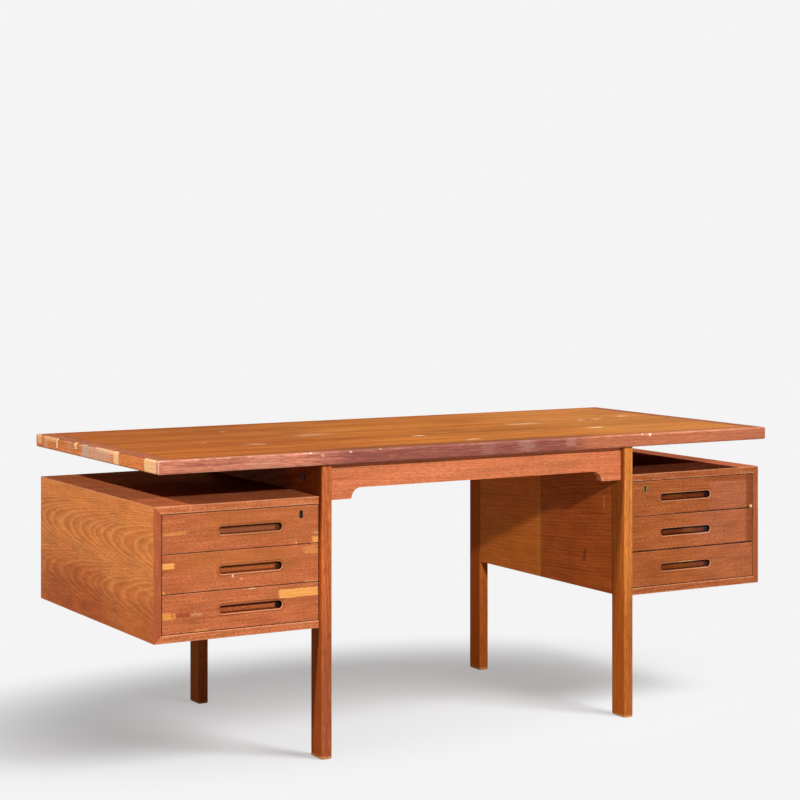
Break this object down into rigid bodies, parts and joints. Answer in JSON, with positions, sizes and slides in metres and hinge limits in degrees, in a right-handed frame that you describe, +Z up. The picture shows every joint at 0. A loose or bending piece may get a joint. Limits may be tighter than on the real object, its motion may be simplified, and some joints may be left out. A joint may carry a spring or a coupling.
{
  "type": "executive desk",
  "caption": "Executive desk with a floating top on slim straight legs, and a pedestal of drawers with routed finger pulls hung outside the legs on each side of the knee space.",
  "frame": {"origin": "on the floor, under the middle of the desktop", "axes": "+X to the right along the desktop as seen from the front, +Y from the front with the drawers to the back, +Z up"},
  "size_m": [1.76, 0.784, 0.73],
  "materials": {
    "teak": "oiled teak, worn at the edges",
    "beech": "plain waxed beech",
    "plywood": "thin sanded plywood",
    "steel": "dull dark steel",
    "brass": "dull worn brass"
  },
  "bodies": {
    "frame": {"desktop_panel": "teak", "desktop_front_lip": "teak", "desktop_back_lip": "teak", "desktop_left_lip": "teak", "desktop_right_lip": "teak", "front_left_leg": "teak", "front_right_leg": "teak", "back_left_leg": "teak", "back_right_leg": "teak", "front_apron": "teak", "back_apron": "teak", "left_inner_panel": "teak", "left_top_cleat": "beech", "left_pedestal_outer_side": "teak", "left_pedestal_top": "teak", "left_pedestal_bottom": "teak", "left_pedestal_back": "teak", "left_drawer_runners": "beech", "right_inner_panel": "teak", "right_top_cleat": "beech", "right_pedestal_outer_side": "teak", "right_pedestal_top": "teak", "right_pedestal_bottom": "teak", "right_pedestal_back": "teak", "right_drawer_runners": "beech", "cleat_bolts": "steel", "top_screws": "steel", "frame_dowels": "beech"},
    "left_bottom_drawer": {"left_bottom_drawer_front": "teak", "left_bottom_drawer_sides": "beech", "left_bottom_drawer_back": "beech", "left_bottom_drawer_bottom": "plywood"},
    "left_middle_drawer": {"left_middle_drawer_front": "teak", "left_middle_drawer_sides": "beech", "left_middle_drawer_back": "beech", "left_middle_drawer_bottom": "plywood"},
    "left_top_drawer": {"left_top_drawer_front": "teak", "left_top_drawer_sides": "beech", "left_top_drawer_back": "beech", "left_top_drawer_bottom": "plywood", "left_lock_case": "steel", "left_keyhole_liner": "brass"},
    "left_bolt": {"left_lock_bolt": "brass"},
    "right_bottom_drawer": {"right_bottom_drawer_front": "teak", "right_bottom_drawer_sides": "beech", "right_bottom_drawer_back": "beech", "right_bottom_drawer_bottom": "plywood"},
    "right_middle_drawer": {"right_middle_drawer_front": "teak", "right_middle_drawer_sides": "beech", "right_middle_drawer_back": "beech", "right_middle_drawer_bottom": "plywood"},
    "right_top_drawer": {"right_top_drawer_front": "teak", "right_top_drawer_sides": "beech", "right_top_drawer_back": "beech", "right_top_drawer_bottom": "plywood", "right_lock_case": "steel", "right_keyhole_liner": "brass"},
    "right_bolt": {"right_lock_bolt": "brass"}
  },
  "joints": [
    {"name": "left_bottom_drawer_slide", "type": "slide", "parent": "frame", "child": "left_bottom_drawer", "axis": [0, -1, 0], "range_m": [0, 0.42]},
    {"name": "left_middle_drawer_slide", "type": "slide", "parent": "frame", "child": "left_middle_drawer", "axis": [0, -1, 0], "range_m": [0, 0.42]},
    {"name": "left_top_drawer_slide", "type": "slide", "parent": "frame", "child": "left_top_drawer", "axis": [0, -1, 0], "range_m": [0, 0.42]},
    {"name": "left_bolt_slide", "type": "slide", "parent": "left_top_drawer", "child": "left_bolt", "axis": [0, 0, 1], "range_m": [0, 0.008]},
    {"name": "right_bottom_drawer_slide", "type": "slide", "parent": "frame", "child": "right_bottom_drawer", "axis": [0, -1, 0], "range_m": [0, 0.42]},
    {"name": "right_middle_drawer_slide", "type": "slide", "parent": "frame", "child": "right_middle_drawer", "axis": [0, -1, 0], "range_m": [0, 0.42]},
    {"name": "right_top_drawer_slide", "type": "slide", "parent": "frame", "child": "right_top_drawer", "axis": [0, -1, 0], "range_m": [0, 0.42]},
    {"name": "right_bolt_slide", "type": "slide", "parent": "right_top_drawer", "child": "right_bolt", "axis": [0, 0, 1], "range_m": [0, 0.008]}
  ]
}
